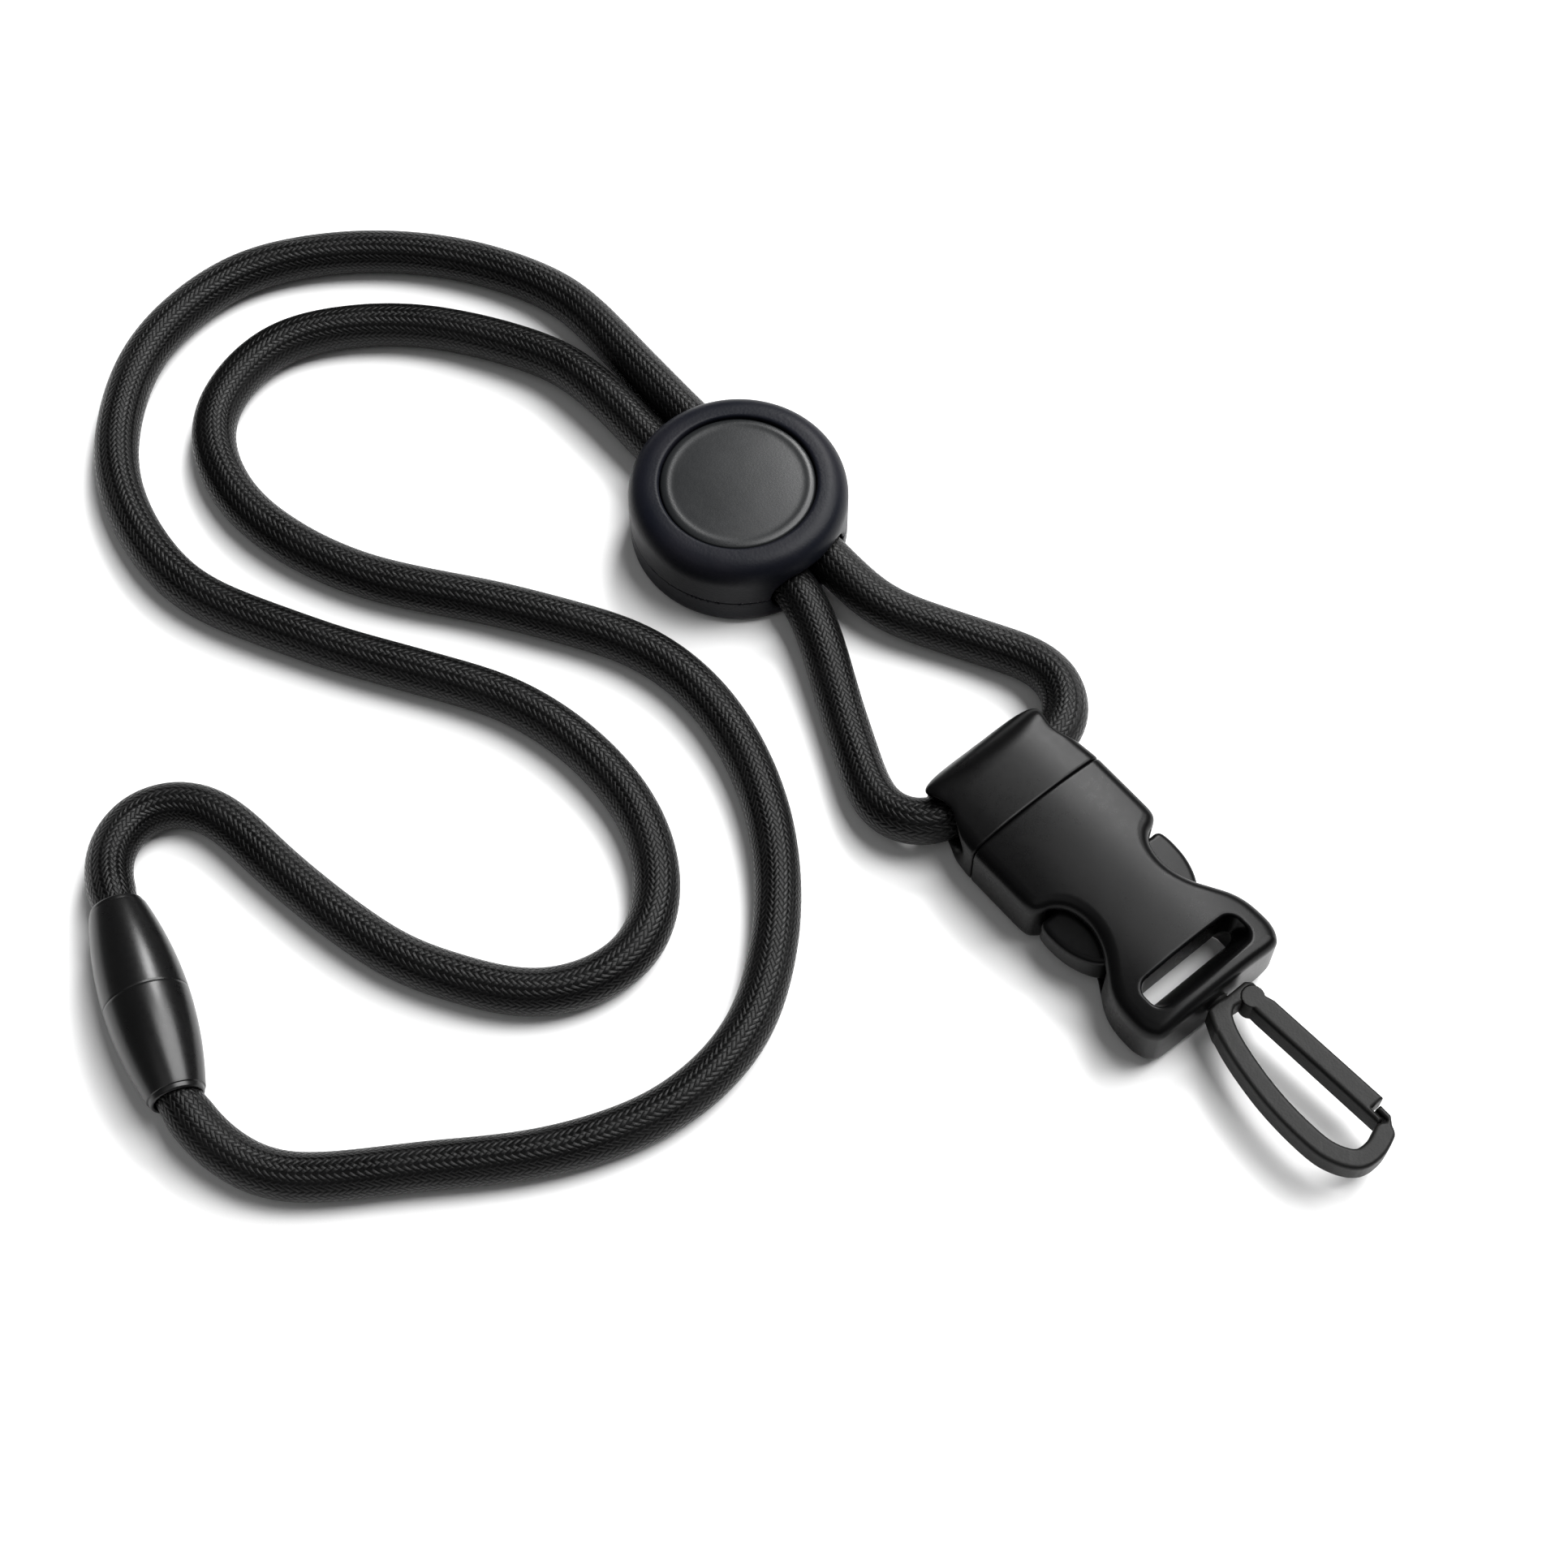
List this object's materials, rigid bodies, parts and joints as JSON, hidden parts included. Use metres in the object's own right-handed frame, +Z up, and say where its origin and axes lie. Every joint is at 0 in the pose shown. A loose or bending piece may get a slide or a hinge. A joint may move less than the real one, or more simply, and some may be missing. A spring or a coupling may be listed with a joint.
{
  "type": "breakaway neck lanyard",
  "caption": "Round braided cord neck lanyard with a breakaway barrel, a sliding round stopper, a side-release buckle and a swivel snap hook.",
  "frame": {"origin": "centre of the slider's underside, on the surface the lanyard lies on", "axes": "+X from the slider through the buckle to the hook, the line the lanyard is pulled along; +Z up; +Y to the left of the pull"},
  "size_m": [0.1982, 0.1254, 0.012],
  "materials": {
    "cord": "braided",
    "barrel": "gloss",
    "ferrule": "satin",
    "slider": "matte",
    "inlay": "satin",
    "buckle": "satin",
    "hook": "matte"
  },
  "bodies": {
    "neck_loop": {"neck_cord_left": "cord", "neck_cord_right": "cord", "front_cord_loop": "cord", "barrel_socket": "barrel", "socket_end_ferrule": "ferrule"},
    "breakaway_end": {"barrel_plug": "barrel", "plug_end_ferrule": "ferrule", "neck_cord_tail": "cord"},
    "slider": {"slider_base": "slider", "slider_cover": "slider", "slider_inlay": "inlay"},
    "buckle_male": {"male_body": "buckle"},
    "latch_left": {"latch_arm_left": "buckle"},
    "latch_right": {"latch_arm_right": "buckle"},
    "buckle_female": {"female_body": "buckle"},
    "hook": {"hook_body": "hook"},
    "gate": {"hook_gate": "hook"}
  },
  "joints": [
    {"name": "slider_travel", "type": "slide", "parent": "neck_loop", "child": "slider", "axis": [-1, 0, 0], "range_m": [0, 0.012]},
    {"name": "breakaway_pull", "type": "slide", "parent": "neck_loop", "child": "breakaway_end", "axis": [0.9511, -0.309, 0], "range_m": [0, 0.012], "deforming": ["neck_cord_tail"]},
    {"name": "buckle_swing", "type": "hinge", "parent": "neck_loop", "child": "buckle_male", "pos_m": [0.0525, -0.0012, 0.0054], "axis": [0, -1, 0], "range_deg": [0, 100]},
    {"name": "latch_left_squeeze", "type": "hinge", "parent": "buckle_male", "child": "latch_left", "pos_m": [0.0614, 0.0048, 0.0054], "axis": [0, 0, -1], "range_deg": [0, 8], "stiffness_Nm_per_rad": 0.2},
    {"name": "latch_right_squeeze", "type": "hinge", "parent": "buckle_male", "child": "latch_right", "pos_m": [0.0614, -0.0072, 0.0054], "axis": [0, 0, 1], "range_deg": [0, 8], "stiffness_Nm_per_rad": 0.2},
    {"name": "buckle_release", "type": "slide", "parent": "buckle_male", "child": "buckle_female", "axis": [1, 0, 0], "range_m": [0, 0.028], "deforming": ["latch_arm_left", "latch_arm_right"]},
    {"name": "hook_swivel", "type": "hinge", "parent": "buckle_female", "child": "hook", "pos_m": [0.0918, -0.0012, 0.0054], "axis": [1, 0, 0], "continuous": true},
    {"name": "gate_open", "type": "hinge", "parent": "hook", "child": "gate", "pos_m": [0.0944, 0.002, 0.0054], "axis": [0, 0, -1], "range_deg": [0, 12], "stiffness_Nm_per_rad": 0.1}
  ]
}
